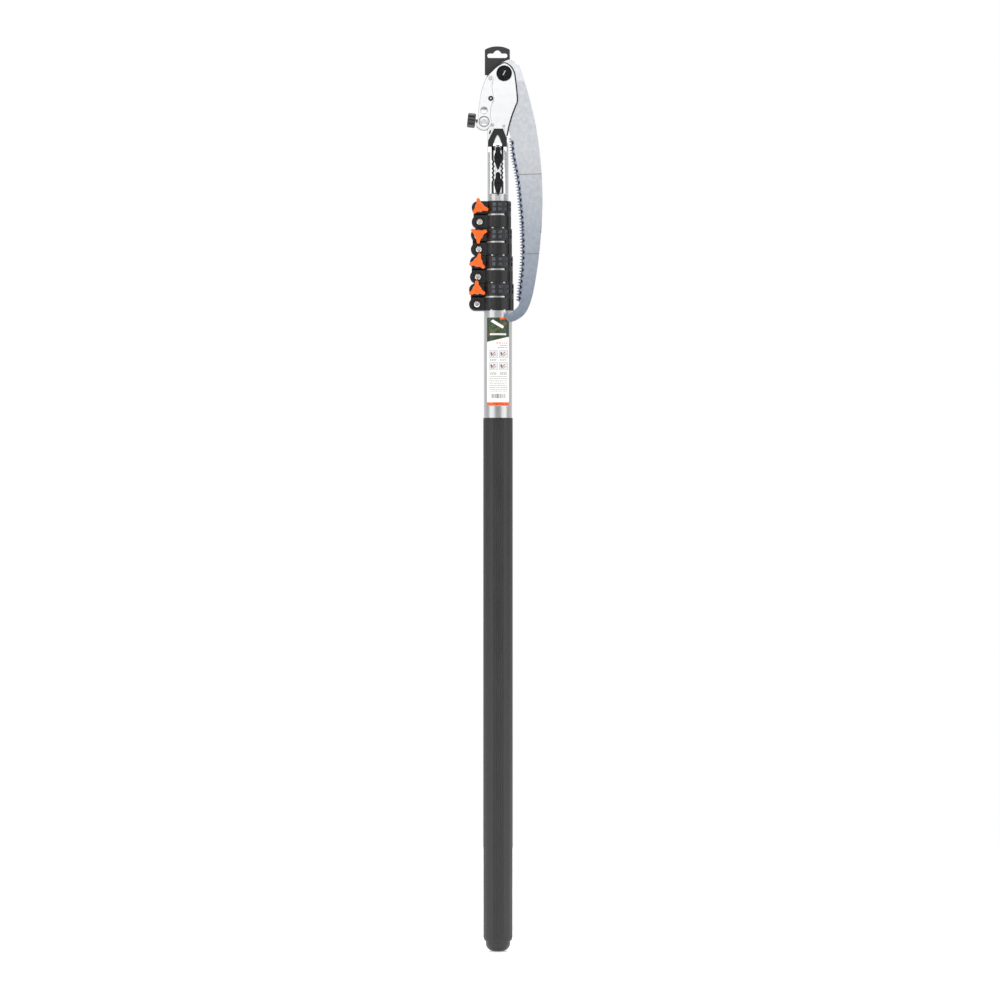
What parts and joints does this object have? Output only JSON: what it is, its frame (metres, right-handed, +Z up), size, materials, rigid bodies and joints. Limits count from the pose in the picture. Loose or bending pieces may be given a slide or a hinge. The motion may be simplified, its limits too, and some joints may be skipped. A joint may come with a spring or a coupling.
{
  "type": "telescoping pole saw",
  "caption": "Telescoping aluminium pole with clamp collars, a ribbed hand grip and a folding curved pruning saw with a lock lever on its head.",
  "frame": {"origin": "centre of the small flat foot under the end cap, on the pole's axis", "axes": "+Z up along the pole to the saw head, -Y towards the side that carries the saw blade and the wing knobs, +X towards the folded blade's back"},
  "size_m": [0.1206, 0.062, 1.4454],
  "materials": {
    "aluminium_tube": "extruded aluminium tube, satin anodised",
    "polished_head": "polished chrome-plated sheet steel",
    "blade_steel": "ground and satin-rolled spring steel, impulse-hardened teeth",
    "black_steel": "black-oxided steel",
    "zinc_steel": "bright zinc-plated steel",
    "black_nylon": "fine-textured moulded black nylon",
    "grip_vinyl": "soft satin black vinyl extrusion",
    "orange_nylon": "semi-gloss moulded orange nylon",
    "label_film": null,
    "tab_plastic": "dark grey sheet plastic"
  },
  "bodies": {
    "pole_base": {"tube_1": "aluminium_tube", "grip_sleeve": "grip_vinyl", "end_cap": "black_nylon", "label": "label_film", "collar_1": "black_nylon", "collar_screw_1": "zinc_steel", "clamp_nut_1": "zinc_steel"},
    "section_2": {"tube_2": "aluminium_tube", "guide_plug_2": "black_nylon", "collar_2": "black_nylon", "collar_screw_2": "zinc_steel", "clamp_nut_2": "zinc_steel"},
    "section_3": {"tube_3": "aluminium_tube", "guide_plug_3": "black_nylon", "collar_3": "black_nylon", "collar_screw_3": "zinc_steel", "clamp_nut_3": "zinc_steel"},
    "section_4": {"tube_4": "aluminium_tube", "guide_plug_4": "black_nylon", "collar_4": "black_nylon", "collar_screw_4": "zinc_steel", "clamp_nut_4": "zinc_steel"},
    "section_5": {"tube_5": "aluminium_tube", "guide_plug_5": "black_nylon", "head_bracket": "polished_head", "front_cheek": "polished_head", "cheek_spacer": "black_nylon", "front_liner": "black_nylon", "rear_liner": "black_nylon", "pivot_bolt": "zinc_steel", "pivot_nut": "black_steel", "pivot_bush": "zinc_steel", "lever_pin": "zinc_steel", "saddle_clamp_1": "black_steel", "saddle_clamp_2": "black_steel", "saddle_bolt_1": "black_steel", "saddle_bolt_2": "black_steel", "saddle_nut_bar": "zinc_steel", "cheek_rivet_1": "zinc_steel", "cheek_rivet_2": "zinc_steel", "hang_tab": "tab_plastic"},
    "blade": {"saw_blade": "blade_steel"},
    "lock_lever_assembly": {"lock_lever": "polished_head", "nose_pin": "zinc_steel", "barrel_nut": "zinc_steel"},
    "thumb_travel": {"thumb_washer": "zinc_steel"},
    "thumb_screw": {"thumb_knob": "black_nylon", "thumb_stem": "zinc_steel"},
    "knob_travel_1": {"knob_washer_1": "zinc_steel"},
    "knob_1": {"wing_knob_1": "orange_nylon", "clamp_stud_1": "zinc_steel"},
    "knob_travel_2": {"knob_washer_2": "zinc_steel"},
    "knob_2": {"wing_knob_2": "orange_nylon", "clamp_stud_2": "zinc_steel"},
    "knob_travel_3": {"knob_washer_3": "zinc_steel"},
    "knob_3": {"wing_knob_3": "orange_nylon", "clamp_stud_3": "zinc_steel"},
    "knob_travel_4": {"knob_washer_4": "zinc_steel"},
    "knob_4": {"wing_knob_4": "orange_nylon", "clamp_stud_4": "zinc_steel"}
  },
  "joints": [
    {"name": "extend_section_2", "type": "slide", "parent": "pole_base", "child": "section_2", "axis": [0, 0, 1], "range_m": [0, 0.86]},
    {"name": "extend_section_3", "type": "slide", "parent": "section_2", "child": "section_3", "axis": [0, 0, 1], "range_m": [0, 0.86]},
    {"name": "extend_section_4", "type": "slide", "parent": "section_3", "child": "section_4", "axis": [0, 0, 1], "range_m": [0, 0.86]},
    {"name": "extend_section_5", "type": "slide", "parent": "section_4", "child": "section_5", "axis": [0, 0, 1], "range_m": [0, 0.86]},
    {"name": "blade_pivot", "type": "hinge", "parent": "section_5", "child": "blade", "pos_m": [0.00984, -0.024, 1.4015], "axis": [0, -1, 0], "range_deg": [0, 162]},
    {"name": "lever_swing", "type": "hinge", "parent": "section_5", "child": "lock_lever_assembly", "pos_m": [-0.0115, -0.024, 1.3613], "axis": [0, -1, 0], "range_deg": [0, 4.7]},
    {"name": "thumb_back_out", "type": "slide", "parent": "lock_lever_assembly", "child": "thumb_travel", "axis": [-0.9942, 0, 0.108], "range_m": [0, 0.003]},
    {"name": "thumb_turn", "type": "hinge", "parent": "thumb_travel", "child": "thumb_screw", "pos_m": [-0.0221, -0.024, 1.3245], "axis": [-0.9942, 0, 0.108], "range_deg": [0, 1081]},
    {"name": "knob_back_out_1", "type": "slide", "parent": "pole_base", "child": "knob_travel_1", "axis": [0, -1, 0], "range_m": [0, 0.002]},
    {"name": "knob_turn_1", "type": "hinge", "parent": "knob_travel_1", "child": "knob_1", "pos_m": [-0.0335, -0.015, 1.0573], "axis": [0, -1, 0], "range_deg": [0, 721]},
    {"name": "knob_back_out_2", "type": "slide", "parent": "section_2", "child": "knob_travel_2", "axis": [0, -1, 0], "range_m": [0, 0.002]},
    {"name": "knob_turn_2", "type": "hinge", "parent": "knob_travel_2", "child": "knob_2", "pos_m": [-0.03207, -0.015, 1.10118], "axis": [0, -1, 0], "range_deg": [0, 721]},
    {"name": "knob_back_out_3", "type": "slide", "parent": "section_3", "child": "knob_travel_3", "axis": [0, -1, 0], "range_m": [0, 0.002]},
    {"name": "knob_turn_3", "type": "hinge", "parent": "knob_travel_3", "child": "knob_3", "pos_m": [-0.03065, -0.015, 1.14505], "axis": [0, -1, 0], "range_deg": [0, 721]},
    {"name": "knob_back_out_4", "type": "slide", "parent": "section_4", "child": "knob_travel_4", "axis": [0, -1, 0], "range_m": [0, 0.002]},
    {"name": "knob_turn_4", "type": "hinge", "parent": "knob_travel_4", "child": "knob_4", "pos_m": [-0.02923, -0.015, 1.18893], "axis": [0, -1, 0], "range_deg": [0, 721]}
  ],
  "couplings": [
    {"joint": "lever_swing", "follows": "thumb_back_out", "rad_per_m": 27.175},
    {"joint": "thumb_turn", "follows": "thumb_back_out", "rad_per_m": 6283.2},
    {"joint": "knob_turn_1", "follows": "knob_back_out_1", "rad_per_m": 6283.2},
    {"joint": "knob_turn_2", "follows": "knob_back_out_2", "rad_per_m": 6283.2},
    {"joint": "knob_turn_3", "follows": "knob_back_out_3", "rad_per_m": 6283.2},
    {"joint": "knob_turn_4", "follows": "knob_back_out_4", "rad_per_m": 6283.2}
  ]
}
